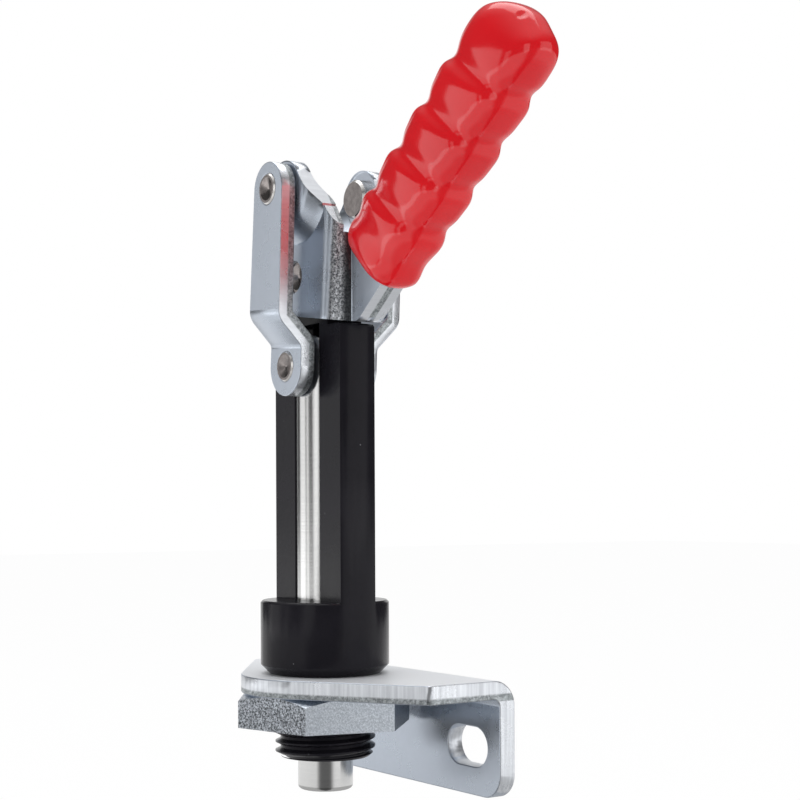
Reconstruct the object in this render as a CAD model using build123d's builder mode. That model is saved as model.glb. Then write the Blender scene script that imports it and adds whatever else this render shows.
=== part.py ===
import os
from math import asin, atan2, cos, radians, sin, tan

from build123d import *

# Push-pull toggle clamp on a slotted angle bracket, with its plunger drawn
# back and the handle resting on its stop. The origin is the centre of the
# plunger's tip face. +Z runs up the plunger, +X is the side that the handle
# leans to, and +Y is the side of the bracket's upright leg. Millimetres.

# Cutting shapes run this far past the faces they cut, and heights match within this
cut_margin = 1.0
height_match = 0.01

# Plunger
plunger_radius = 6.0
plunger_eye_margin = 6.6
tip_round = 1.0
spindle_hole_radius = 3.4
spindle_hole_depth = 16.0

# Housing, measured up from the seat of its collar
seat_z = 25.2
nose_length = 18.1
thread_core_radius = 9.77
nose_chamfer = 1.2
collar_radius = 14.0
collar_height = 15.9
seat_chamfer = 2.0
rim_chamfer = 0.5
flat_offset = 4.4
shoulder_height = 74.9
slot_half_width = 5.05
slot_overrun = 2.5
bore_clearance = 0.05
tongue_radius = 8.3

# Main pivot and lever linkage
pivot_rise = 10.7
pivot_radius = 3.5
pivot_pin_recess = 0.9
crank_radius = 18.0
strap_centres = 37.2
over_centre = 8.0
end_over_centre = 1.5
running_clearance = 0.05
side_clearance = 0.3

# Lever plates
plate_thickness = 3.0
lobe_radius = 6.4
lobe_step = 3.7
lobe_flat_radius = 7.3
heel_gap = 0.3
bend_u = 13.7
arm_u_low = 17.1
arm_u_high = 14.6
arm_flat_u = 18.5
web_join_u = 10.4
bend_inside = 0.4
bend_outside = 3.0
web_margin = 5.2
blank_margin = 4.0
heel_round = 3.5
arm_angle = 46.0
arm_offset = 11.8
arm_half_width = 7.8
tang_end_round = 3.0

# Steps pressed in the sheet, from its plane
step_angle = 45.0

# Straps
strap_thickness = 3.5
strap_low_radius = 6.35
strap_high_radius = 5.75
strap_joggle = 5.7
joggle_start = 4.4
joggle_inside = 1.5
joggle_outside = 4.0
lobe_clearance = 0.6

# Rivets
rivet_radius = 3.25
rivet_proud = 0.3
rivet_dish = 0.8
rivet_head_radius = 4.25
rivet_head_thickness = 2.3
pin_recess = 0.1

# Lock nut
nut_across_flats = 34.0
nut_thickness = 7.2
nut_turn = 15.7
nut_crown_angle = 30.0
nut_bore_radius = 9.92
nut_countersink = 1.1

# Bracket
sheet_thickness = 4.0
bracket_hole_radius = 11.25
bracket_end_radius = 18.3
bracket_half_width = 35.3
bracket_corner_y = 2.6
bracket_corner_round = 1.5
leg_inner_y = 20.5
leg_drop = 25.1
leg_corner_round = 5.5
bend_inner_radius = 1.5
bolt_slot_spacing = 48.0
bolt_slot_length = 13.8
bolt_slot_width = 8.4
bolt_slot_drop = 14.8

# Grip, along the arm's centre line
grip_start = 17.4
grip_length = 64.3
grip_half_width = 9.6
grip_half_thickness = 5.5
grip_corner_radius = 4.8
grip_taper = 0.07
grip_drop = 0.3
grip_pitch = 11.2
first_groove = 15.2
groove_tilt = 17.0
groove_count = 4
groove_wave = ((0.0, 0.0), (0.2, 0.55), (0.5, 0.95), (0.82, 0.9))
top_swell = 1.5
under_swell = 1.0
side_swell = 0.9
mouth_tilt = 9.0
mouth_round = 1.2
mouth_swells = (-0.6, 0.1)
mouth_depth = 3.4
grip_wall = 1.5
dome_length = 10.0
dome_drop = 5.0
dome_tilt = 6.0
dome_fullness = 2.3
dome_stations = (0.0, 0.3, 0.55, 0.75, 0.9, 0.98)
tang_clearance = 0.1
tang_length = 50.0

# Heights and radii that follow
nose_z = seat_z - nose_length
collar_top_z = seat_z + collar_height
shoulder_z = seat_z + shoulder_height
pivot_z = shoulder_z + pivot_rise
bore_radius = plunger_radius + bore_clearance

# Linkage
lean = radians(over_centre)
strap_pivot_x = crank_radius * sin(lean)
strap_pivot_z = pivot_z + crank_radius * cos(lean)
strap_lean = asin(strap_pivot_x / strap_centres)
cross_pin_z = strap_pivot_z - strap_centres * cos(strap_lean)
plunger_length = cross_pin_z + plunger_eye_margin
slot_top_z = plunger_length + slot_overrun

# Distances out from the middle plane
plate_inner = flat_offset + side_clearance
plate_outer = plate_inner + plate_thickness
lobe_inner = plate_inner + lobe_step
lobe_outer = plate_outer + lobe_step
strap_high_inner = lobe_outer + lobe_clearance
strap_high_outer = strap_high_inner + strap_thickness
strap_low_inner = strap_high_inner - strap_joggle
strap_low_outer = strap_low_inner + strap_thickness

# Lever frame: x along the heel, y towards the strap pivot, z towards -Y
lever_plane = Plane(
    origin=(0, 0, pivot_z),
    x_dir=(cos(lean), 0, -sin(lean)),
    z_dir=(0, -1, 0),
)
strap_plane = Plane(
    origin=(0, 0, cross_pin_z),
    x_dir=(cos(strap_lean), 0, -sin(strap_lean)),
    z_dir=(0, -1, 0),
)
# The plates' heel stops on one shoulder and their web on the other
end_lean = radians(end_over_centre)
heel_depth = (pivot_rise - heel_gap - collar_radius * tan(lean)) * cos(lean)
web_top = pivot_rise * cos(end_lean) - collar_radius * sin(end_lean) - heel_gap


def pivot_plane(x, z, angle):
    """Plane through a pivot, x square to its axis and y out along it, towards -Y."""
    return Plane(
        origin=(x, 0, z),
        x_dir=(cos(angle), 0, -sin(angle)),
        z_dir=(-sin(angle), 0, -cos(angle)),
    )


def arm_point(along, across):
    """Lever-frame point on the arm, measured from the foot of its centre line."""
    turn = radians(arm_angle)
    height = across - arm_offset
    return (
        along * cos(turn) - height * sin(turn),
        along * sin(turn) + height * cos(turn),
    )


def arm_edge_x(across, y):
    """Lever-frame x where an edge of the arm crosses a level."""
    turn = radians(arm_angle)
    return (y * cos(turn) - across + arm_offset) / sin(turn)


# Housing: one steel turning with milled flats, slot and tongue
with BuildPart() as housing:
    with BuildSketch(Plane.XZ):
        with BuildLine():
            Polyline(
                (0, nose_z),
                (thread_core_radius - nose_chamfer, nose_z),
                (thread_core_radius, nose_z + nose_chamfer),
                (thread_core_radius, seat_z),
                (collar_radius - seat_chamfer, seat_z),
                (collar_radius, seat_z + seat_chamfer),
                (collar_radius, shoulder_z),
                (0, shoulder_z),
                close=True,
            )
        make_face()
    revolve(axis=Axis.Z)
    chamfer(housing.edges().group_by(Axis.Z)[-1], rim_chamfer)
    with BuildSketch(Plane.XY.offset(collar_top_z)):
        Circle(collar_radius + cut_margin)
        Rectangle(2 * (collar_radius + 2 * cut_margin), 2 * flat_offset, mode=Mode.SUBTRACT)
    extrude(amount=shoulder_height - collar_height + cut_margin, mode=Mode.SUBTRACT)
    collar_rim = housing.edges().filter_by_position(
        Axis.Z, collar_top_z - height_match, collar_top_z + height_match
    )
    chamfer(collar_rim.filter_by(GeomType.CIRCLE).sort_by(SortBy.LENGTH)[-2:], rim_chamfer)
    with BuildSketch(Plane.XZ):
        with Locations((0, pivot_z)):
            Circle(tongue_radius)
        with Locations((0, (pivot_z + collar_top_z) / 2)):
            Rectangle(2 * tongue_radius, pivot_z - collar_top_z)
    extrude(amount=flat_offset, both=True)
    with BuildSketch(Plane.XZ):
        with Locations((0, pivot_z)):
            Circle(pivot_radius)
    extrude(amount=flat_offset + cut_margin, both=True, mode=Mode.SUBTRACT)
    with BuildSketch(Plane.XY.offset(nose_z)):
        Circle(bore_radius)
    extrude(amount=slot_top_z - nose_z, mode=Mode.SUBTRACT)
    with BuildSketch(Plane.XY.offset(collar_top_z)):
        Rectangle(2 * slot_half_width, 2 * collar_radius)
    extrude(amount=slot_top_z - collar_top_z, mode=Mode.SUBTRACT)
    housing.part.label = "housing"

# Plunger: ground rod with a tapped nose and a cross hole
with BuildPart() as plunger:
    with BuildSketch(Plane.XY):
        Circle(plunger_radius)
    extrude(amount=plunger_length)
    fillet(plunger.edges().group_by(Axis.Z)[0], tip_round)
    chamfer(plunger.edges().group_by(Axis.Z)[-1], rim_chamfer)
    with BuildSketch(Plane.XY):
        Circle(spindle_hole_radius)
    extrude(amount=spindle_hole_depth, mode=Mode.SUBTRACT)
    with BuildSketch(Plane.XZ):
        with Locations((0, cross_pin_z)):
            Circle(rivet_radius)
    extrude(amount=plunger_radius + cut_margin, both=True, mode=Mode.SUBTRACT)
    plunger.part.label = "plunger"

# Cross pin, held in the plunger
with BuildPart() as cross_pin:
    with BuildSketch(Plane.XZ):
        with Locations((0, cross_pin_z)):
            Circle(rivet_radius)
    extrude(amount=plunger_radius - pin_recess, both=True)
    chamfer(cross_pin.edges().filter_by(GeomType.CIRCLE), pin_recess)
    cross_pin.part.label = "cross_pin"

# Pivot pin, pressed through the tongue, with dished ends inside the plates
with BuildPart() as pivot_pin:
    with BuildSketch(pivot_plane(0, pivot_z, 0)):
        pin_end = plate_outer - pivot_pin_recess
        with BuildLine():
            Polyline(
                (0, 0),
                (pivot_radius, 0),
                (pivot_radius, pin_end - rivet_proud),
                (pivot_radius - rivet_proud, pin_end),
                (pivot_radius - rivet_dish, pin_end),
                (0, pin_end - rivet_dish),
                close=True,
            )
        make_face()
    revolve(axis=Axis((0, 0, pivot_z), (0, 1, 0)))
    mirror(about=Plane.XZ)
    pivot_pin.part.label = "pivot_pin"


def web_section(level):
    """Section of a plate across its two bends, at one lever-frame height."""
    share = (level + heel_depth) / (web_top + heel_depth)
    arm_u = arm_u_low + (arm_u_high - arm_u_low) * share
    turn = atan2(plate_inner, arm_u - bend_u)
    shift = plate_thickness * tan(turn / 2)
    x = level * sin(lean)
    z = pivot_z + level * cos(lean)
    with BuildSketch(pivot_plane(x, z, lean)) as section:
        with BuildLine():
            FilletPolyline(
                (web_join_u, plate_inner),
                (bend_u - shift, plate_inner),
                (arm_u - shift, 0),
                (arm_flat_u, 0),
                (arm_flat_u, plate_thickness),
                (arm_u, plate_thickness),
                (bend_u, plate_outer),
                (web_join_u, plate_outer),
                radius=(0, bend_inside, bend_outside, 0, 0, bend_inside, bend_outside, 0),
                close=True,
            )
        make_face()
    return section.sketch


# Lever plate: pressed outwards round the strap pivot, bent inwards into the arm
with BuildPart() as lever_plate_near:
    step_run = lobe_step / tan(radians(step_angle))
    step_shift = plate_thickness * tan(radians(step_angle) / 2)
    blank_radius = crank_radius + heel_depth + blank_margin
    with BuildSketch(pivot_plane(strap_pivot_x, strap_pivot_z, lean)):
        with BuildLine():
            FilletPolyline(
                (0, lobe_inner),
                (lobe_flat_radius - step_shift, lobe_inner),
                (lobe_flat_radius + step_run - step_shift, plate_inner),
                (blank_radius, plate_inner),
                (blank_radius, plate_outer),
                (lobe_flat_radius + step_run, plate_outer),
                (lobe_flat_radius, lobe_outer),
                (0, lobe_outer),
                radius=(0, bend_inside, bend_outside, 0, 0, bend_inside, bend_outside, 0),
                close=True,
            )
        make_face()
    revolve(axis=Axis((strap_pivot_x, 0, strap_pivot_z), (0, 1, 0)))
    with BuildSketch(lever_plane):
        with Locations((web_join_u + blank_radius, 0)):
            Rectangle(2 * blank_radius, 4 * blank_radius)
    extrude(amount=lobe_outer + cut_margin, mode=Mode.SUBTRACT)
    loft(
        [web_section(-heel_depth - web_margin), web_section(web_top + web_margin)],
        ruled=True,
    )
    tang_end = grip_start + tang_length
    with BuildSketch(lever_plane):
        with Locations((arm_flat_u + tang_end / 2, 0)):
            Rectangle(tang_end, 2 * tang_end)
    extrude(amount=plate_thickness)
    with BuildSketch(lever_plane) as plate_outline:
        web_corner = (arm_edge_x(arm_half_width, web_top), web_top)
        heel_corner = (arm_edge_x(-arm_half_width, -heel_depth), -heel_depth)
        tang_low = arm_point(tang_end, -arm_half_width)
        tang_high = arm_point(tang_end, arm_half_width)
        with BuildLine():
            Line((web_corner[0] - cut_margin, web_top), web_corner)
        Circle(heel_depth)
        with Locations((0, crank_radius)):
            Circle(lobe_radius)
        make_hull()
        with BuildLine():
            Polyline(
                (0, -heel_depth),
                heel_corner,
                tang_low,
                tang_high,
                web_corner,
                (0, web_top),
                close=True,
            )
        make_face()
        fillet(plate_outline.vertices().sort_by_distance(heel_corner)[0], heel_round)
        for corner in (tang_low, tang_high):
            fillet(plate_outline.vertices().sort_by_distance(corner)[0], tang_end_round)
    extrude(amount=lobe_outer + cut_margin, both=True, mode=Mode.INTERSECT)
    with BuildSketch(lever_plane):
        with Locations((web_corner[0] / 2, web_top + crank_radius / 2)):
            Rectangle(web_corner[0], crank_radius)
    extrude(amount=plate_inner, mode=Mode.SUBTRACT)
    with BuildSketch(lever_plane):
        Circle(pivot_radius + running_clearance)
        with Locations((0, crank_radius)):
            Circle(rivet_radius)
    extrude(amount=lobe_outer + cut_margin, mode=Mode.SUBTRACT)
    lever_plate_near.part.label = "lever_plate_near"

with BuildPart() as lever_plate_far:
    mirror(lever_plate_near.part, about=Plane.XZ)
    lever_plate_far.part.label = "lever_plate_far"

# Upper rivet: headed inside, it carries the strap outside the lobe
with BuildPart() as upper_rivet_near:
    rivet_end = strap_high_outer + rivet_proud
    with BuildSketch(pivot_plane(strap_pivot_x, strap_pivot_z, lean)):
        with BuildLine():
            Polyline(
                (0, lobe_inner - rivet_head_thickness),
                (rivet_head_radius - rim_chamfer, lobe_inner - rivet_head_thickness),
                (rivet_head_radius, lobe_inner - rivet_head_thickness + rim_chamfer),
                (rivet_head_radius, lobe_inner),
                (rivet_radius, lobe_inner),
                (rivet_radius, rivet_end - rivet_proud),
                (rivet_radius - rivet_proud, rivet_end),
                (rivet_radius - rivet_dish, rivet_end),
                (0, rivet_end - rivet_dish),
                close=True,
            )
        make_face()
    revolve(axis=Axis((strap_pivot_x, 0, strap_pivot_z), (0, 1, 0)))
    upper_rivet_near.part.label = "upper_rivet_near"

with BuildPart() as upper_rivet_far:
    mirror(upper_rivet_near.part, about=Plane.XZ)
    upper_rivet_far.part.label = "upper_rivet_far"

# Strap: joggled inwards at its lower end to reach the plunger
with BuildPart() as strap_near:
    side_plane = Plane(
        origin=(0, 0, cross_pin_z),
        x_dir=(sin(strap_lean), 0, cos(strap_lean)),
        z_dir=(cos(strap_lean), 0, -sin(strap_lean)),
    )
    joggle_end = joggle_start + strap_joggle / tan(radians(step_angle))
    joggle_shift = strap_thickness * tan(radians(step_angle) / 2)
    strap_bottom = -strap_low_radius - cut_margin
    strap_top = strap_centres + strap_high_radius + cut_margin
    with BuildSketch(side_plane):
        with BuildLine():
            FilletPolyline(
                (strap_bottom, strap_low_inner),
                (joggle_start + joggle_shift, strap_low_inner),
                (joggle_end + joggle_shift, strap_high_inner),
                (strap_top, strap_high_inner),
                (strap_top, strap_high_outer),
                (joggle_end, strap_high_outer),
                (joggle_start, strap_low_outer),
                (strap_bottom, strap_low_outer),
                radius=(0, joggle_outside, joggle_inside, 0, 0, joggle_outside, joggle_inside, 0),
                close=True,
            )
        make_face()
    extrude(amount=strap_low_radius + cut_margin, both=True)
    with BuildSketch(strap_plane):
        Circle(strap_low_radius)
        with Locations((0, strap_centres)):
            Circle(strap_high_radius)
        make_hull()
    extrude(amount=strap_high_outer + cut_margin, mode=Mode.INTERSECT)
    with BuildSketch(strap_plane):
        Circle(rivet_radius)
        with Locations((0, strap_centres)):
            Circle(rivet_radius + running_clearance)
    extrude(amount=strap_high_outer + cut_margin, mode=Mode.SUBTRACT)
    strap_near.part.label = "strap_near"

with BuildPart() as strap_far:
    mirror(strap_near.part, about=Plane.XZ)
    strap_far.part.label = "strap_far"

# Lower rivet, fast in the strap's lower eye
with BuildPart() as lower_rivet_near:
    rivet_end = strap_low_outer + rivet_proud
    with BuildSketch(pivot_plane(0, cross_pin_z, strap_lean)):
        with BuildLine():
            Polyline(
                (0, strap_low_inner),
                (rivet_radius, strap_low_inner),
                (rivet_radius, rivet_end - rivet_proud),
                (rivet_radius - rivet_proud, rivet_end),
                (rivet_radius - rivet_dish, rivet_end),
                (0, rivet_end - rivet_dish),
                close=True,
            )
        make_face()
    revolve(axis=Axis((0, 0, cross_pin_z), (0, 1, 0)))
    lower_rivet_near.part.label = "lower_rivet_near"

with BuildPart() as lower_rivet_far:
    mirror(lower_rivet_near.part, about=Plane.XZ)
    lower_rivet_far.part.label = "lower_rivet_far"

# Lock nut, chamfered on its upper corners
with BuildPart() as lock_nut:
    nut_top = seat_z - sheet_thickness
    nut_corner = nut_across_flats / 2 / cos(radians(30))
    crown_drop = (nut_corner + cut_margin - nut_across_flats / 2) * tan(radians(nut_crown_angle))
    with BuildSketch(Plane.XY.offset(nut_top - nut_thickness)):
        RegularPolygon(nut_across_flats / 2, 6, major_radius=False, rotation=nut_turn)
    extrude(amount=nut_thickness)
    with BuildSketch(Plane.XZ):
        with BuildLine():
            Polyline(
                (nut_bore_radius, nut_top - nut_thickness + nut_countersink),
                (nut_bore_radius + nut_countersink, nut_top - nut_thickness),
                (nut_corner + cut_margin, nut_top - nut_thickness),
                (nut_corner + cut_margin, nut_top - crown_drop),
                (nut_across_flats / 2, nut_top),
                (nut_bore_radius + nut_countersink, nut_top),
                (nut_bore_radius, nut_top - nut_countersink),
                close=True,
            )
        make_face()
    revolve(axis=Axis.Z, mode=Mode.INTERSECT)
    lock_nut.part.label = "lock_nut"

# Bracket: one folded sheet, rounded about the nose and flared out to its leg
with BuildPart() as bracket:
    leg_outer_y = leg_inner_y + sheet_thickness
    sheet_under_z = seat_z - sheet_thickness
    leg_bottom_z = seat_z - leg_drop
    with BuildSketch(Plane.YZ):
        with BuildLine():
            FilletPolyline(
                (-bracket_end_radius - cut_margin, seat_z),
                (leg_outer_y, seat_z),
                (leg_outer_y, leg_bottom_z),
                (leg_inner_y, leg_bottom_z),
                (leg_inner_y, sheet_under_z),
                (-bracket_end_radius - cut_margin, sheet_under_z),
                radius=(0, bend_inner_radius + sheet_thickness, 0, 0, bend_inner_radius, 0),
                close=True,
            )
        make_face()
    extrude(amount=bracket_half_width, both=True)
    with BuildSketch(Plane.XY.offset(leg_bottom_z)) as plan:
        leg_depth = leg_outer_y - bracket_corner_y
        with Locations((0, bracket_corner_y + leg_depth / 2)):
            Rectangle(2 * bracket_half_width, leg_depth)
        Circle(bracket_end_radius)
        make_hull()
        near_corners = plan.vertices().filter_by_position(
            Axis.Y, bracket_corner_y - height_match, bracket_corner_y + height_match
        )
        fillet(near_corners, bracket_corner_round)
    extrude(amount=leg_drop, mode=Mode.INTERSECT)
    leg_corners = bracket.edges().filter_by(Axis.Y).group_by(Axis.Z)[0]
    fillet(leg_corners, leg_corner_round)
    with BuildSketch(Plane.XY.offset(sheet_under_z)):
        Circle(bracket_hole_radius)
    extrude(amount=sheet_thickness, mode=Mode.SUBTRACT)
    with BuildSketch(Plane.XZ.offset(-leg_outer_y)):
        with Locations((0, seat_z - bolt_slot_drop)):
            with GridLocations(bolt_slot_spacing, 0, 2, 1):
                SlotOverall(bolt_slot_length, bolt_slot_width)
    extrude(amount=sheet_thickness, mode=Mode.SUBTRACT)
    bracket.part.label = "bracket"


def grip_plane(along, across, tilt):
    """Plane across the grip at a distance from its open end, x towards +Y."""
    x, y = arm_point(grip_start + along, across)
    heading = radians(arm_angle - over_centre + tilt)
    return Plane(
        origin=lever_plane.from_local_coords((x, y, 0)),
        x_dir=(0, 1, 0),
        z_dir=(cos(heading), 0, sin(heading)),
    )


def grip_outline(along, swell, tilt, share=1.0, drop=0.0, inset=0.0):
    """Rounded outline of the grip, fuller between its grooves and smaller in its dome."""
    slim = share * (1 - grip_taper * along / grip_length)
    half_width = (grip_half_width + swell * (top_swell + under_swell) / 2) * slim - inset
    half_thickness = (grip_half_thickness + swell * side_swell) * slim - inset
    rise = swell * (top_swell - under_swell) / 2 * share - grip_drop - drop
    with BuildSketch(grip_plane(along, rise, tilt)) as outline:
        RectangleRounded(
            2 * half_thickness,
            2 * half_width / cos(radians(tilt)),
            grip_corner_radius * slim - inset,
        )
    return outline.sketch


# Grip: a hollow moulding with slanted finger grooves and a domed end
with BuildPart() as grip:
    outlines = [
        grip_outline(0, mouth_swells[0], mouth_tilt),
        grip_outline(mouth_round, mouth_swells[1], mouth_tilt),
    ]
    for part, swell in groove_wave[1:]:
        tilt = mouth_tilt + (groove_tilt - mouth_tilt) * part
        outlines.append(grip_outline(first_groove - (1 - part) * grip_pitch, swell * part**0.5, tilt))
    for groove in range(groove_count):
        for part, swell in groove_wave:
            along = first_groove + (groove + part) * grip_pitch
            if along < grip_length - dome_length - cut_margin:
                tilt = groove_tilt - (groove_tilt - dome_tilt) * part * (groove == groove_count - 1)
                outlines.append(grip_outline(along, swell, tilt))
    for part in dome_stations:
        outlines.append(
            grip_outline(
                grip_length - dome_length * (1 - part),
                groove_wave[-1][1],
                dome_tilt * (1 - 2 * part),
                (1 - part**dome_fullness) ** 0.5,
                dome_drop * part**2,
            )
        )
    loft(outlines)
    mouth = grip_outline(0, mouth_swells[0], mouth_tilt, inset=grip_wall)
    extrude(mouth, amount=mouth_depth, mode=Mode.SUBTRACT)
    with BuildSketch(grip_plane(tang_length + tang_clearance, 0, 0)):
        Rectangle(
            2 * (plate_thickness + tang_clearance),
            2 * (arm_half_width + tang_clearance),
        )
    extrude(amount=-tang_length - grip_half_width, mode=Mode.SUBTRACT)
    with BuildSketch(lever_plane):
        with Locations((web_corner[0] / 2, web_top)):
            Rectangle(web_corner[0] + 2 * tang_clearance, crank_radius)
    extrude(amount=grip_half_width, both=True, mode=Mode.SUBTRACT)
    grip.part.label = "grip"

os.makedirs("parts", exist_ok=True)
pieces = (
    housing,
    bracket,
    lock_nut,
    pivot_pin,
    plunger,
    cross_pin,
    lever_plate_near,
    lever_plate_far,
    upper_rivet_near,
    upper_rivet_far,
    strap_near,
    strap_far,
    lower_rivet_near,
    lower_rivet_far,
    grip,
)
for piece in pieces:
    export_step(piece.part, f"parts/{piece.part.label}.step")
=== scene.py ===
from math import cos, pi, radians, sin

import bpy
from mathutils import Euler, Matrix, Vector


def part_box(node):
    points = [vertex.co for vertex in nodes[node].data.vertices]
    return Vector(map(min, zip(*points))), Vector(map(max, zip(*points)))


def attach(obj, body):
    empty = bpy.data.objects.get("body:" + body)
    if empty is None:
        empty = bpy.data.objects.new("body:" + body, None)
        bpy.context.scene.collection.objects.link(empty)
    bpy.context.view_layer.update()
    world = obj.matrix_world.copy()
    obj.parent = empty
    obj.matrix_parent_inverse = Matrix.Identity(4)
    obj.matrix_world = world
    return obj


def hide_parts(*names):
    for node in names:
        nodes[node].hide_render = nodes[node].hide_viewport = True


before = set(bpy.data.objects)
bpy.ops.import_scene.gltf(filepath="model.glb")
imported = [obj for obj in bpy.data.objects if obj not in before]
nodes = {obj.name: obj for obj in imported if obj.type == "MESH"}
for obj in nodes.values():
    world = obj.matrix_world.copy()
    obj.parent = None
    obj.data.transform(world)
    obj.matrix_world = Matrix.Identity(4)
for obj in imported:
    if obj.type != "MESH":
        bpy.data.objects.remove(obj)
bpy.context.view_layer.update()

print("loaded", len(nodes), "parts")


# Small helpers for building node trees
def addNode(tree, kind, **settings):
    node = tree.nodes.new("ShaderNode" + kind)
    for key, value in settings.items():
        setattr(node, key, value)
    return node


def wire(tree, source, target):
    tree.links.new(source, target)


# Put a number or colour on a socket, or link another node to it
def feed(tree, value, socket):
    if isinstance(value, bpy.types.NodeSocket):
        wire(tree, value, socket)
    elif isinstance(value, (int, float)):
        socket.default_value = value
    else:
        socket.default_value = (*value, 1)


def calc(tree, operation, first, second=None):
    node = addNode(tree, "Math", operation=operation)
    feed(tree, first, node.inputs[0])
    if second is not None:
        feed(tree, second, node.inputs[1])
    return node.outputs[0]


def remap(tree, value, low, high, toLow=0.0, toHigh=1.0, smooth=False):
    node = addNode(tree, "MapRange", clamp=True)
    node.interpolation_type = "SMOOTHSTEP" if smooth else "LINEAR"
    wire(tree, value, node.inputs["Value"])
    for name, number in zip(("From Min", "From Max", "To Min", "To Max"), (low, high, toLow, toHigh)):
        node.inputs[name].default_value = number
    return node.outputs["Result"]


def mixColor(tree, share, first, second):
    node = addNode(tree, "Mix", data_type="RGBA")
    for slot, value in ((0, share), (6, first), (7, second)):
        feed(tree, value, node.inputs[slot])
    return node.outputs[2]


def mixValue(tree, share, first, second):
    node = addNode(tree, "Mix", data_type="FLOAT")
    for slot, value in ((0, share), (2, first), (3, second)):
        feed(tree, value, node.inputs[slot])
    return node.outputs[0]


def bump(tree, height, strength, distance):
    node = addNode(tree, "Bump")
    node.inputs["Strength"].default_value = strength
    node.inputs["Distance"].default_value = distance
    wire(tree, height, node.inputs["Height"])
    return node.outputs["Normal"]


def axisPart(tree, vector, axis):
    split = addNode(tree, "SeparateXYZ")
    wire(tree, vector, split.inputs[0])
    return split.outputs[axis]


def axisSize(tree, vector, axis):
    return calc(tree, "ABSOLUTE", axisPart(tree, vector, axis))


def dotWith(tree, vector, direction):
    node = addNode(tree, "VectorMath", operation="DOT_PRODUCT")
    wire(tree, vector, node.inputs[0])
    node.inputs[1].default_value = direction
    return node.outputs["Value"]


def newGroup(name, inputs, outputs):
    group = bpy.data.node_groups.new(name, "ShaderNodeTree")
    for label, kind, value in inputs:
        socket = group.interface.new_socket(label, in_out="INPUT", socket_type="NodeSocket" + kind)
        if value is not None:
            socket.default_value = value
    for label, kind in outputs:
        group.interface.new_socket(label, in_out="OUTPUT", socket_type="NodeSocket" + kind)
    return group, group.nodes.new("NodeGroupInput"), group.nodes.new("NodeGroupOutput")


def useGroup(tree, group, **values):
    node = tree.nodes.new("ShaderNodeGroup")
    node.node_tree = group
    for name, value in values.items():
        feed(tree, value, node.inputs[name])
    return node.outputs


def newMaterial(name, **sockets):
    material = bpy.data.materials.new(name)
    material.use_nodes = True
    tree = material.node_tree
    tree.nodes.clear()
    output = addNode(tree, "OutputMaterial")
    shader = addNode(tree, "BsdfPrincipled")
    wire(tree, shader.outputs["BSDF"], output.inputs["Surface"])
    for key, value in sockets.items():
        shader.inputs[key.replace("_", " ")].default_value = value
    return material, tree, shader


# Fine grain of a plated or blasted surface: a speckle mask and its height
grainShape = {"fineDetail": 3.0, "coarseDetail": 2.0, "coarseShare": 0.37, "spread": (0.85, 1.25)}
grainGroup, grainIn, grainOut = newGroup(
    "platedGrain",
    [("Vector", "Vector", None), ("Scale", "Float", 2500.0)],
    [("Speckle", "Float"), ("Height", "Float")],
)
fine = addNode(grainGroup, "TexNoise")
fine.inputs["Detail"].default_value = grainShape["fineDetail"]
wire(grainGroup, grainIn.outputs["Vector"], fine.inputs["Vector"])
wire(grainGroup, grainIn.outputs["Scale"], fine.inputs["Scale"])
coarse = addNode(grainGroup, "TexNoise")
coarse.inputs["Detail"].default_value = grainShape["coarseDetail"]
coarseScale = calc(grainGroup, "MULTIPLY", grainIn.outputs["Scale"], grainShape["coarseShare"])
wire(grainGroup, grainIn.outputs["Vector"], coarse.inputs["Vector"])
wire(grainGroup, coarseScale, coarse.inputs["Scale"])
grainSum = calc(grainGroup, "ADD", fine.outputs["Fac"], coarse.outputs["Fac"])
wire(grainGroup, remap(grainGroup, grainSum, *grainShape["spread"]), grainOut.inputs["Speckle"])
wire(grainGroup, calc(grainGroup, "MULTIPLY", grainSum, 0.5), grainOut.inputs["Height"])

# Slow clouding of colour and gloss over a surface
cloudShape = {"detail": 4.0, "spread": (0.3, 0.7)}
cloudGroup, cloudIn, cloudOut = newGroup(
    "surfaceCloud",
    [("Vector", "Vector", None), ("Scale", "Float", 120.0)],
    [("Cloud", "Float")],
)
cloud = addNode(cloudGroup, "TexNoise")
cloud.inputs["Detail"].default_value = cloudShape["detail"]
wire(cloudGroup, cloudIn.outputs["Vector"], cloud.inputs["Vector"])
wire(cloudGroup, cloudIn.outputs["Scale"], cloud.inputs["Scale"])
wire(cloudGroup, remap(cloudGroup, cloud.outputs["Fac"], *cloudShape["spread"]), cloudOut.inputs["Cloud"])

# Zinc plate: values are colours in linear light and lengths in metres
zincLook = {
    "face": (0.56, 0.61, 0.69),
    "faceDark": (0.50, 0.55, 0.62),
    "faceRough": (0.24, 0.34),
    "cloudScale": 160.0,
    "metal": 0.88,
    "burnish": (0.84, 0.87, 0.91),  # blanked edges, and the streaks down them
    "scored": (0.50, 0.52, 0.56),
    "streakAlong": 50.0,
    "streakAcross": 1400.0,
    "torn": (0.60, 0.64, 0.66),  # the torn part of a blanked edge
    "tornDark": (0.24, 0.26, 0.27),
    "tornRough": 0.45,
    "web": (0.92, 0.96, 1.0),  # the rough web between the plates' bends
    "webDark": (0.07, 0.075, 0.085),
    "webScale": 5600.0,
    # painted shade and highlight across the web: how much of its speckle shows off the crest and on it
    "webPaintedLight": (0.12, 0.85),
    "top": (0.78, 0.80, 0.83),  # the matt top of the bracket, made paler as painted light from above
    "mattMetal": 0.35,
    "mattRough": 0.52,
    "grainScale": 3400.0,
    "grainDepth": (0.015, 0.9),  # on faces and on edges
    "bump": (0.35, 0.00012),
}


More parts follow.
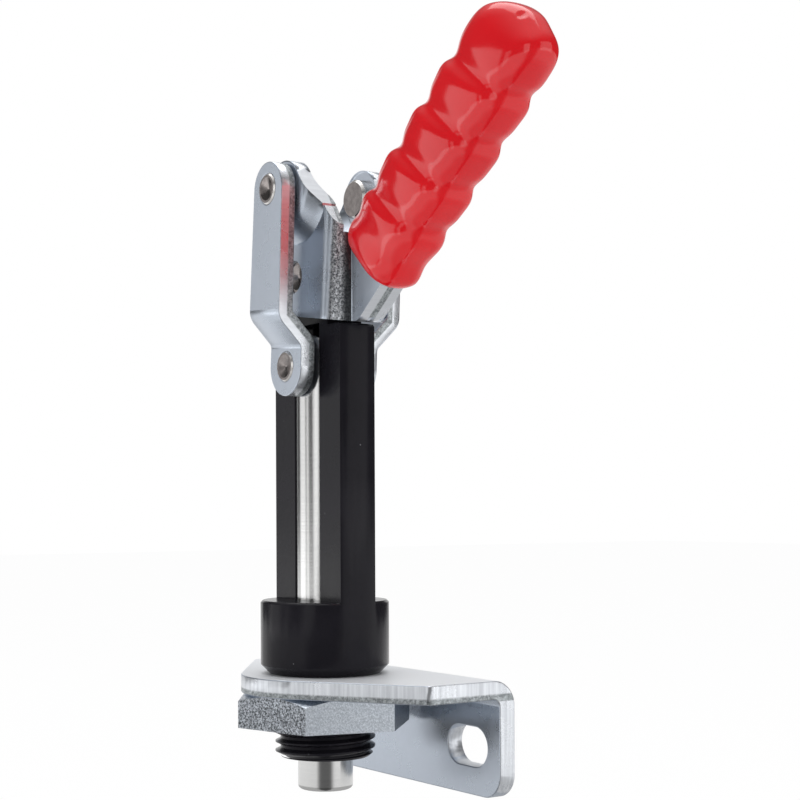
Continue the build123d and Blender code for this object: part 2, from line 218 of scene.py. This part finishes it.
def edgeStreaks(tree, place, along):
    stretch = addNode(tree, "Mapping")
    stretch.inputs["Scale"].default_value = [
        zincLook["streakAlong"] if axis == along else zincLook["streakAcross"] for axis in "XYZ"
    ]
    wire(tree, place, stretch.inputs["Vector"])
    return useGroup(tree, cloudGroup, Vector=stretch.outputs["Vector"], Scale=1.0)["Cloud"]


def zincSheet(name, edgeMask, tornMask, webMask=None, mattPaintedTopMask=None, streakAxis="Y", streakShare=0.25):
    material, tree, shader = newMaterial(name, Metallic=zincLook["metal"])
    coords = addNode(tree, "TexCoord")
    place = coords.outputs["Object"]
    grain = useGroup(tree, grainGroup, Vector=place, Scale=zincLook["grainScale"])
    clouds = useGroup(tree, cloudGroup, Vector=place, Scale=zincLook["cloudScale"])["Cloud"]
    edge = edgeMask(tree, coords)
    torn = calc(tree, "MULTIPLY", edge, tornMask(tree, coords))
    faceTone = mixColor(tree, clouds, zincLook["faceDark"], zincLook["face"])
    tornTone = mixColor(tree, grain["Speckle"], zincLook["tornDark"], zincLook["torn"])
    shine = remap(tree, edgeStreaks(tree, place, streakAxis), 0, 1, 1 - streakShare, 1.0)
    rubbed = mixColor(tree, shine, zincLook["scored"], zincLook["burnish"])
    tone = mixColor(tree, torn, mixColor(tree, edge, faceTone, rubbed), tornTone)
    matt = None
    if webMask:
        web, crest = webMask(tree, coords)
        speckle = useGroup(tree, grainGroup, Vector=place, Scale=zincLook["webScale"])["Speckle"]
        # painted light: the web's speckle is lit on its crest and shaded to each side
        paintedLight = calc(tree, "MULTIPLY", speckle, remap(tree, crest, 0, 1, *zincLook["webPaintedLight"]))
        tone = mixColor(tree, web, tone, mixColor(tree, paintedLight, zincLook["webDark"], zincLook["web"]))
        edge = calc(tree, "MAXIMUM", edge, web)
        matt = calc(tree, "MULTIPLY", web, crest)
    if mattPaintedTopMask:
        matt = mattPaintedTopMask(tree, coords)
        # painted light: faces turned up are given the paler top tone
        tone = mixColor(tree, matt, tone, zincLook["top"])
    gloss = mixValue(tree, torn, remap(tree, clouds, 0, 1, *zincLook["faceRough"]), zincLook["tornRough"])
    if matt is not None:
        metal = remap(tree, matt, 0, 1, zincLook["metal"], zincLook["mattMetal"])
        wire(tree, metal, shader.inputs["Metallic"])
        gloss = mixValue(tree, matt, gloss, zincLook["mattRough"])
    wire(tree, tone, shader.inputs["Base Color"])
    wire(tree, gloss, shader.inputs["Roughness"])
    height = calc(tree, "MULTIPLY", grain["Height"], remap(tree, edge, 0, 1, *zincLook["grainDepth"]))
    wire(tree, bump(tree, height, *zincLook["bump"]), shader.inputs["Normal"])
    return material


# Blanked edges stand square to the sheet, so their normals have no part along Y
def sidewaysEdge(low, high):
    def build(tree, coords):
        return remap(tree, axisSize(tree, coords.outputs["Normal"], "Y"), low, high, 1.0, 0.0)
    return build


# The inner third of a strap's edge is torn, measured down from its outer face
strapEdge = {
    "lean": (0.25, 0.45),
    "joggle": (0.0960, 0.1016),
    "outerFace": (0.0098, 0.0155),
    "tornBelow": (0.0019, 0.0022),
}


def strapTorn(tree, coords):
    height = axisPart(tree, coords.outputs["Object"], "Z")
    outer = remap(tree, height, *strapEdge["joggle"], *strapEdge["outerFace"])
    below = calc(tree, "SUBTRACT", outer, axisSize(tree, coords.outputs["Object"], "Y"))
    return remap(tree, below, *strapEdge["tornBelow"])


# A plate is torn along the inside of its cheeks and of its arm
plateEdge = {
    "lean": (0.08, 0.16),
    "cheekFrom": (0.0044, 0.0046),
    "cheekTo": (0.0060, 0.0056),
    "armTo": (0.0009, 0.0006),
}


def plateTorn(tree, coords):
    across = axisSize(tree, coords.outputs["Object"], "Y")
    cheekFrom = remap(tree, across, *plateEdge["cheekFrom"])
    cheekTo = remap(tree, across, *plateEdge["cheekTo"])
    cheek = calc(tree, "MULTIPLY", cheekFrom, cheekTo)
    return calc(tree, "MAXIMUM", cheek, remap(tree, across, *plateEdge["armTo"]))


# The web between the two bends is drawn rough by the press; along its crest it carries a painted
# highlight, with painted shade to each side, standing in for the light on a rounded bend, and the crest
# is made matt
webShape = {
    "forward": (0.55, 0.75),
    "lean": (0.10, 0.16),
    "crest": 0.0056,
    "crestFade": (0.0004, 0.0018),
}


def plateWeb(tree, coords):
    forward = remap(tree, axisPart(tree, coords.outputs["Normal"], "X"), *webShape["forward"])
    lean = remap(tree, axisSize(tree, coords.outputs["Normal"], "Y"), *webShape["lean"])
    across = axisSize(tree, coords.outputs["Object"], "Y")
    offCrest = calc(tree, "ABSOLUTE", calc(tree, "SUBTRACT", across, webShape["crest"]))
    crest = remap(tree, offCrest, *webShape["crestFade"], 1.0, 0.0, smooth=True)
    return calc(tree, "MULTIPLY", forward, lean), crest


# The bracket's edges are its rim in front of the leg and its two sides, torn in one low band
bracketRim = {
    "legFace": (0.0180, 0.0182),
    "flat": (0.3, 0.4),
    "side": (0.6, 0.7),
    "tornFrom": (0.0208, 0.0210),
    "tornTo": (0.0226, 0.0222),
    "topFacing": (0.8, 0.95),
    "streakShare": 0.7,
}


def bracketEdge(tree, coords):
    front = remap(tree, axisPart(tree, coords.outputs["Object"], "Y"), *bracketRim["legFace"], 1.0, 0.0)
    upright = remap(tree, axisSize(tree, coords.outputs["Normal"], "Z"), *bracketRim["flat"], 1.0, 0.0)
    side = remap(tree, axisSize(tree, coords.outputs["Normal"], "X"), *bracketRim["side"])
    return calc(tree, "MAXIMUM", calc(tree, "MULTIPLY", front, upright), side)


def bracketTorn(tree, coords):
    height = axisPart(tree, coords.outputs["Object"], "Z")
    tornTo = remap(tree, height, *bracketRim["tornTo"])
    return calc(tree, "MULTIPLY", tornTo, remap(tree, height, *bracketRim["tornFrom"]))


# Faces turned up are matt and paler; the paler tone is painted light from above
def bracketPaintedTop(tree, coords):
    return remap(tree, axisPart(tree, coords.outputs["Normal"], "Z"), *bracketRim["topFacing"])


strapZinc = zincSheet("strapZinc", sidewaysEdge(*strapEdge["lean"]), strapTorn)
plateZinc = zincSheet("plateZinc", sidewaysEdge(*plateEdge["lean"]), plateTorn, plateWeb)
bracketZinc = zincSheet(
    "bracketZinc",
    bracketEdge,
    bracketTorn,
    mattPaintedTopMask=bracketPaintedTop,
    streakAxis="Z",
    streakShare=bracketRim["streakShare"],
)

# Black enamel over a turned and milled body, with a few pale specks of dust
enamelLook = {
    "color": (0.0085, 0.0080, 0.0105),
    "worn": (0.0135, 0.0125, 0.0165),
    "cloudScale": 90.0,
    "grainScale": 1500.0,
    "speck": (0.16, 0.16, 0.17),
    "speckScale": 420.0,
    "speckSize": (0.05, 0.09),
    "speckRare": (0.86, 0.90),
    "rough": (0.14, 0.24),
    "specular": 0.13,
    "bump": (0.25, 0.00006),
}
blackEnamel, tree, shader = newMaterial(
    "blackEnamel", Metallic=0.0, Specular_IOR_Level=enamelLook["specular"]
)
coords = addNode(tree, "TexCoord")
place = coords.outputs["Object"]
clouds = useGroup(tree, cloudGroup, Vector=place, Scale=enamelLook["cloudScale"])["Cloud"]
grain = useGroup(tree, grainGroup, Vector=place, Scale=enamelLook["grainScale"])
dust = addNode(tree, "TexVoronoi")
dust.inputs["Scale"].default_value = enamelLook["speckScale"]
wire(tree, place, dust.inputs["Vector"])
dot = remap(tree, dust.outputs["Distance"], *enamelLook["speckSize"], 1.0, 0.0)
rare = addNode(tree, "SeparateColor")
wire(tree, dust.outputs["Color"], rare.inputs[0])
speck = calc(tree, "MULTIPLY", dot, remap(tree, rare.outputs[0], *enamelLook["speckRare"]))
enamelTone = mixColor(tree, clouds, enamelLook["color"], enamelLook["worn"])
wire(tree, mixColor(tree, speck, enamelTone, enamelLook["speck"]), shader.inputs["Base Color"])
wire(tree, remap(tree, clouds, 0, 1, *enamelLook["rough"]), shader.inputs["Roughness"])
wire(tree, bump(tree, grain["Height"], *enamelLook["bump"]), shader.inputs["Normal"])

# Nut cut from hexagonal bar: one pair of flats is coarse, and darkened with painted shade, the others are
# finer and bright
nutLook = {
    "dark": (0.52, 0.57, 0.63),
    "bright": (0.84, 0.89, 0.96),
    "coarseShadedDark": (0.05, 0.055, 0.06),
    "coarseBright": (0.62, 0.66, 0.72),
    "coarseFacing": (0.317, -0.948, 0.0),
    "coarseSpread": (0.85, 0.95),
    "rough": 0.30,
    "scale": 6500.0,
    "bump": (0.5, 0.00015),
}
nutZinc, tree, shader = newMaterial("nutZinc", Metallic=1.0, Roughness=nutLook["rough"])
coords = addNode(tree, "TexCoord")
grain = useGroup(tree, grainGroup, Vector=coords.outputs["Object"], Scale=nutLook["scale"])
facing = calc(tree, "ABSOLUTE", dotWith(tree, coords.outputs["Normal"], nutLook["coarseFacing"]))
fineTone = mixColor(tree, grain["Speckle"], nutLook["dark"], nutLook["bright"])
# painted shade: the coarse flats are much darker than the others
coarseShadedTone = mixColor(tree, grain["Speckle"], nutLook["coarseShadedDark"], nutLook["coarseBright"])
nutTone = mixColor(tree, remap(tree, facing, *nutLook["coarseSpread"]), fineTone, coarseShadedTone)
wire(tree, nutTone, shader.inputs["Base Color"])
wire(tree, bump(tree, grain["Height"], *nutLook["bump"]), shader.inputs["Normal"])

# Ground plunger: fine rings round the rod
rodLook = {
    "dark": (0.66, 0.66, 0.66),
    "bright": (0.74, 0.74, 0.73),
    "rough": 0.20,
    "rings": (60.0, 60.0, 3000.0),
    "bump": (0.15, 0.00005),
}
groundSteel, tree, shader = newMaterial("groundSteel", Metallic=1.0, Roughness=rodLook["rough"])
coords = addNode(tree, "TexCoord")
stretch = addNode(tree, "Mapping")
stretch.inputs["Scale"].default_value = rodLook["rings"]
wire(tree, coords.outputs["Object"], stretch.inputs["Vector"])
rings = addNode(tree, "TexNoise")
rings.inputs["Scale"].default_value = 1.0
wire(tree, stretch.outputs["Vector"], rings.inputs["Vector"])
rodTone = mixColor(tree, rings.outputs["Fac"], rodLook["dark"], rodLook["bright"])
wire(tree, rodTone, shader.inputs["Base Color"])
wire(tree, bump(tree, rings.outputs["Fac"], *rodLook["bump"]), shader.inputs["Normal"])

# Rivets and pins: dull crown, with a painted highlight on the rounded rim
pinLook = {
    "dull": (0.20, 0.18, 0.175),
    "bright": (0.32, 0.29, 0.28),
    "rimHighlight": (0.80, 0.78, 0.76),
    "rimLean": (0.93, 0.80),
    "cloudScale": 700.0,
    "rough": 0.24,
}
rivetSteel, tree, shader = newMaterial("rivetSteel", Metallic=1.0, Roughness=pinLook["rough"])
coords = addNode(tree, "TexCoord")
place = coords.outputs["Object"]
clouds = useGroup(tree, cloudGroup, Vector=place, Scale=pinLook["cloudScale"])["Cloud"]
crownTone = mixColor(tree, clouds, pinLook["dull"], pinLook["bright"])
# painted highlight round the rim, where the normal leans off the pin's axis
rimHighlight = remap(tree, axisSize(tree, coords.outputs["Normal"], "Y"), *pinLook["rimLean"], smooth=True)
wire(tree, mixColor(tree, rimHighlight, crownTone, pinLook["rimHighlight"]), shader.inputs["Base Color"])

# Glossy red grip
gripLook = {
    "color": (0.68, 0.0070, 0.0120),
    "deep": (0.60, 0.0060, 0.0115),
    "cloudScale": 60.0,
    "rough": 0.12,
    "specular": 0.60,
}
redGrip, tree, shader = newMaterial(
    "redGrip", Roughness=gripLook["rough"], Specular_IOR_Level=gripLook["specular"]
)
coords = addNode(tree, "TexCoord")
place = coords.outputs["Object"]
clouds = useGroup(tree, cloudGroup, Vector=place, Scale=gripLook["cloudScale"])["Cloud"]
wire(tree, mixColor(tree, clouds, gripLook["deep"], gripLook["color"]), shader.inputs["Base Color"])

finishes = {
    "housing": blackEnamel,
    "bracket": bracketZinc,
    "lock_nut": nutZinc,
    "plunger": groundSteel,
    "grip": redGrip,
    "pivot_pin": rivetSteel,
    "cross_pin": rivetSteel,
}
for side in ("near", "far"):
    finishes["lever_plate_" + side] = plateZinc
    finishes["strap_" + side] = strapZinc
    finishes["upper_rivet_" + side] = rivetSteel
    finishes["lower_rivet_" + side] = rivetSteel
for name, material in finishes.items():
    for slot in nodes[name].material_slots:
        slot.material = material
print("materials set")

# Broken edges on the metal parts: widths in metres, angles in degrees
edgeShape = {"weld": 0.000002, "flatAngle": 0.3, "sharpAngle": 35, "segments": 2}
edgeBreaks = {"bracket": 0.0003, "lock_nut": 0.0002, "housing": 0.0003}
for side in ("near", "far"):
    edgeBreaks["lever_plate_" + side] = 0.00035
    edgeBreaks["strap_" + side] = 0.00035
for name, width in edgeBreaks.items():
    weld = nodes[name].modifiers.new("weld", "WELD")
    weld.merge_threshold = edgeShape["weld"]
    flat = nodes[name].modifiers.new("flat", "DECIMATE")
    flat.decimate_type = "DISSOLVE"
    flat.angle_limit = radians(edgeShape["flatAngle"])
    edge = nodes[name].modifiers.new("edge", "BEVEL")
    edge.width = width
    edge.segments = edgeShape["segments"]
    edge.limit_method = "ANGLE"
    edge.angle_limit = radians(edgeShape["sharpAngle"])
    edge.harden_normals = True
    edge.use_clamp_overlap = True
print("edges broken")

# Thread on the housing's nose, cut back to a barrel with a chamfered start
thread = {
    "rootRadius": 0.0096,
    "crestRadius": 0.01090,
    "pitch": 0.002,
    "crestFlat": 0.0003,
    "rootFlat": 0.0004,
    "bottom": 0.0071,
    "top": 0.0160,
    "turns": 8,
    "chamfer": 0.0012,
    "underRoot": 0.0001,
    "steps": 96,
    "weld": 0.000001,
}


def activate(piece):
    bpy.ops.object.select_all(action="DESELECT")
    piece.select_set(True)
    bpy.context.view_layer.objects.active = piece


def applyModifiers(piece):
    activate(piece)
    for modifier in list(piece.modifiers):
        bpy.ops.object.modifier_apply(modifier=modifier.name)


def makeBarrel():
    height = thread["top"] - thread["bottom"]
    bpy.ops.object.select_all(action="DESELECT")
    bpy.ops.mesh.primitive_cylinder_add(
        vertices=thread["steps"],
        radius=thread["crestRadius"],
        depth=height,
        location=(0, 0, thread["bottom"] + height / 2),
    )
    bpy.ops.object.transform_apply(location=True)
    barrel = bpy.context.object
    for vertex in barrel.data.vertices:
        if vertex.co.z < thread["bottom"] + thread["chamfer"]:
            vertex.co.z += thread["chamfer"]
    start = (thread["rootRadius"] - thread["underRoot"]) / thread["crestRadius"]
    bpy.ops.object.mode_set(mode="EDIT")
    bpy.ops.mesh.select_mode(type="FACE")
    bpy.ops.mesh.select_all(action="DESELECT")
    bpy.ops.object.mode_set(mode="OBJECT")
    for face in barrel.data.polygons:
        face.select = face.normal.z < -0.9  # the lower end
    bpy.ops.object.mode_set(mode="EDIT")
    bpy.ops.mesh.extrude_region_move(TRANSFORM_OT_translate={"value": (0, 0, -thread["chamfer"])})
    bpy.ops.transform.resize(value=(start, start, 1))
    bpy.ops.object.mode_set(mode="OBJECT")
    return barrel


def makeThread():
    low = thread["bottom"] - thread["pitch"]
    bpy.ops.object.select_all(action="DESELECT")
    bpy.ops.mesh.primitive_plane_add(size=1)
    ridge = bpy.context.object
    ridge.name = "nose_thread"
    half = (thread["pitch"] - thread["rootFlat"]) / 2
    corners = (
        (thread["rootRadius"], -half),
        (thread["crestRadius"], -thread["crestFlat"] / 2),
        (thread["rootRadius"], half),
        (thread["crestRadius"], thread["crestFlat"] / 2),
    )
    for vertex, (radius, height) in zip(ridge.data.vertices, corners):
        vertex.co = (radius, 0, low + height)
    screw = ridge.modifiers.new("screw", "SCREW")
    screw.axis = "Z"
    screw.screw_offset = thread["pitch"]
    screw.iterations = thread["turns"]
    screw.steps = thread["steps"]
    screw.render_steps = thread["steps"]
    applyModifiers(ridge)
    bpy.ops.object.mode_set(mode="EDIT")
    bpy.ops.mesh.select_all(action="SELECT")
    bpy.ops.mesh.remove_doubles(threshold=thread["weld"])
    bpy.ops.mesh.select_all(action="DESELECT")
    bpy.ops.mesh.select_non_manifold()
    bpy.ops.mesh.fill()
    bpy.ops.mesh.select_all(action="SELECT")
    bpy.ops.mesh.normals_make_consistent(inside=False)
    bpy.ops.object.mode_set(mode="OBJECT")
    barrel = makeBarrel()
    trim = ridge.modifiers.new("trim", "BOOLEAN")
    trim.operation = "INTERSECT"
    trim.solver = "EXACT"
    trim.object = barrel
    applyModifiers(ridge)
    bpy.data.objects.remove(barrel)
    return ridge


ridge = makeThread()
ridge.data.materials.clear()
ridge.data.materials.append(blackEnamel)
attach(ridge, "housing")
print("thread cut", len(ridge.data.polygons))

# Grip: the moulded form with its waves and corners run soft, and a gate mark near its end
gripShape = {
    "weld": 0.000002,
    "voxel": 0.00035,
    "softenShare": 0.5,
    "soften": 70,
    "lean": 38.0,
    "halfWidth": 0.0096,
    "core": 0.0033,
    "crown": 0.45,
    "gate": (0.0718, -0.0027, 0.1500),
    "gateRadius": 0.0010,
    "gateDepth": 0.0004,
}


def softCopy(source, name):
    piece = bpy.data.objects.new(name, source.data.copy())
    bpy.context.scene.collection.objects.link(piece)
    activate(piece)
    bpy.ops.object.mode_set(mode="EDIT")
    bpy.ops.mesh.select_all(action="SELECT")
    bpy.ops.mesh.remove_doubles(threshold=gripShape["weld"])
    bpy.ops.object.mode_set(mode="OBJECT")
    remesh = piece.modifiers.new("remesh", "REMESH")
    remesh.mode = "VOXEL"
    remesh.voxel_size = gripShape["voxel"]
    soften = piece.modifiers.new("soften", "SMOOTH")
    soften.factor = gripShape["softenShare"]
    soften.iterations = gripShape["soften"]
    applyModifiers(piece)
    return piece


# Smoothing draws a form in a little, so it is stretched back to its box
def fitToBox(piece, low, high):
    for axis in range(3):
        places = [vertex.co[axis] for vertex in piece.data.vertices]
        least, most = min(places), max(places)
        for vertex in piece.data.vertices:
            share = (vertex.co[axis] - least) / (most - least)
            vertex.co[axis] = low[axis] + share * (high[axis] - low[axis])


def makeGrip():
    low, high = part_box("grip")
    centre = (low + high) / 2
    piece = softCopy(nodes["grip"], "moulded_grip")
    fitToBox(piece, low, high)
    lean = radians(gripShape["lean"])
    gate = Vector(gripShape["gate"])
    for vertex in piece.data.vertices:
        across = (vertex.co.z - centre.z) * cos(lean) - (vertex.co.x - centre.x) * sin(lean)
        proud = abs(vertex.co.y) - gripShape["core"]
        if proud > 0:
            kept = 1 - gripShape["crown"] * min(1, (across / gripShape["halfWidth"]) ** 2)
            vertex.co.y = (gripShape["core"] + proud * kept) * (1 if vertex.co.y > 0 else -1)
        inward = centre - vertex.co
        share = (vertex.co - gate).length / gripShape["gateRadius"]
        if share < 1:
            vertex.co += inward.normalized() * gripShape["gateDepth"] * (1 - share**2)
    bpy.ops.object.shade_smooth()
    return piece


grip = makeGrip()
grip.data.materials.clear()
grip.data.materials.append(redGrip)
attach(grip, "lever")
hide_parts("grip")
print("grip softened", len(grip.data.polygons))

# Floor: it glows for the camera, and for metal it is bright far off and dark close by and in front
floorLook = {
    "level": -0.045,
    "size": 6.0,
    "color": (0.85, 0.85, 0.86),
    "rough": 0.9,
    "glow": 0.95,
    "innerGlow": 0.50,
    "frontGlow": 0.15,
    "front": (0.834, -0.552, 0.0),
    "frontCone": (0.80, 0.93),
    "ring": (0.16, 0.25),
}


# Rays that come off a shiny or clear surface
def mirroredRays(tree, lightPath):
    glossy, clear = lightPath.outputs["Is Glossy Ray"], lightPath.outputs["Is Transmission Ray"]
    return calc(tree, "MAXIMUM", glossy, clear)


bpy.ops.object.select_all(action="DESELECT")
bpy.ops.mesh.primitive_plane_add(size=floorLook["size"], location=(0, 0, floorLook["level"]))
floor = bpy.context.object
floor.name = "floor"
floorMaterial, tree, shader = newMaterial("paleFloor", Roughness=floorLook["rough"])
shader.inputs["Base Color"].default_value = (*floorLook["color"], 1)
lightPath = addNode(tree, "LightPath")
glow = addNode(tree, "Emission")
blend = addNode(tree, "MixShader")
floorPlace = addNode(tree, "TexCoord").outputs["Object"]
reach = addNode(tree, "VectorMath", operation="LENGTH")
wire(tree, floorPlace, reach.inputs[0])
distance = reach.outputs["Value"]
turn = calc(tree, "DIVIDE", dotWith(tree, floorPlace, floorLook["front"]), distance)
outward = remap(tree, distance, *floorLook["ring"], floorLook["innerGlow"], floorLook["glow"])
towards = remap(tree, turn, *floorLook["frontCone"], 1.0, floorLook["frontGlow"])
farther = calc(tree, "MULTIPLY", outward, towards)
direct = calc(tree, "MULTIPLY", lightPath.outputs["Is Camera Ray"], floorLook["glow"])
wire(tree, calc(tree, "MAXIMUM", direct, mirroredRays(tree, lightPath)), blend.inputs[0])
wire(tree, calc(tree, "MAXIMUM", lightPath.outputs["Is Camera Ray"], farther), glow.inputs["Strength"])
wire(tree, shader.outputs["BSDF"], blend.inputs[1])
wire(tree, glow.outputs["Emission"], blend.inputs[2])
wire(tree, blend.outputs[0], tree.nodes["Material Output"].inputs["Surface"])
floor.data.materials.append(floorMaterial)
print("floor laid")

# World: reflections see white behind and above the object, and dark all round it
worldLook = {
    "away": (-0.834, 0.552, 0.0),
    "awayCone": (0.80, 0.95),
    "upCone": (0.45, 0.95),
    "up": 0.85,
    "light": 0.80,
    "dark": 0.07,
}


def skyLobe(tree, facing, direction, cone, level):
    turn = dotWith(tree, facing, direction)
    return remap(tree, turn, *cone, worldLook["dark"], level, smooth=True)


world = bpy.data.worlds.new("studio")
bpy.context.scene.world = world
world.use_nodes = True
tree = world.node_tree
tree.nodes.clear()
output = addNode(tree, "OutputWorld")
facing = addNode(tree, "TexCoord").outputs["Generated"]
behind = skyLobe(tree, facing, worldLook["away"], worldLook["awayCone"], 1.0)
above = skyLobe(tree, facing, (0, 0, 1), worldLook["upCone"], worldLook["up"])
lightPath = addNode(tree, "LightPath")
glossLevel = calc(tree, "MAXIMUM", behind, above)
level = mixValue(tree, mirroredRays(tree, lightPath), worldLook["light"], glossLevel)
sky = addNode(tree, "Background")
sky.inputs["Color"].default_value = (1, 1, 1, 1)
wire(tree, mixValue(tree, lightPath.outputs["Is Camera Ray"], level, 1.0), sky.inputs["Strength"])
wire(tree, sky.outputs[0], output.inputs["Surface"])

# Soft boxes: place, size across and up, brightness of their faces, and the height that each aims at
softBoxes = {
    "leftBox": {"place": (-0.62, -0.64, 0.14), "size": (0.56, 0.60), "glow": 0.92, "aim": 0.10},
    "rightBox": {"place": (0.72, 0.36, 0.16), "size": (0.60, 0.70), "glow": 0.95, "aim": 0.10},
    "slimBox": {"place": (-0.24, -0.88, 0.10), "size": (0.18, 0.50), "glow": 0.80, "aim": 0.08},
    "frontBox": {"place": (0.38, -0.82, 0.24), "size": (0.34, 0.50), "glow": 1.1, "aim": 0.10},
    "topBox": {"place": (-0.15, 0.05, 0.95), "size": (0.80, 0.80), "glow": 1.8, "aim": 0.10},
}
for name, look in softBoxes.items():
    data = bpy.data.lights.new(name, "AREA")
    data.shape = "RECTANGLE"
    data.size, data.size_y = look["size"]
    data.energy = look["glow"] * pi * data.size * data.size_y
    lamp = bpy.data.objects.new(name, data)
    lamp.location = look["place"]
    aim = Vector((0, 0, look["aim"])) - Vector(look["place"])
    lamp.rotation_euler = aim.to_track_quat("-Z", "Y").to_euler()
    bpy.context.scene.collection.objects.link(lamp)
print("lights set")

# Camera: level, with its frame shifted; focal length and centre in pixels of the frame
view = {
    "place": (0.29864, -0.18835, 0.06198),
    "azimuth": 56.503,
    "roll": -0.244,
    "focal": 1617.5,
    "frame": 800,
    "centre": (359.9, 503.48),
    "sensor": 36,
}
camData = bpy.data.cameras.new("camera")
camData.sensor_width = view["sensor"]
camData.lens = view["focal"] * view["sensor"] / view["frame"]
camData.shift_x = (view["frame"] / 2 - view["centre"][0]) / view["frame"]
camData.shift_y = (view["centre"][1] - view["frame"] / 2) / view["frame"]
camera = bpy.data.objects.new("camera", camData)
camera.location = view["place"]
level = Euler((radians(90), 0, radians(view["azimuth"]))).to_matrix()
camera.rotation_euler = (level @ Euler((0, 0, radians(view["roll"]))).to_matrix()).to_euler()
bpy.context.scene.collection.objects.link(camera)
bpy.context.scene.camera = camera
bpy.context.scene.view_settings.view_transform = "Standard"
print("camera set")
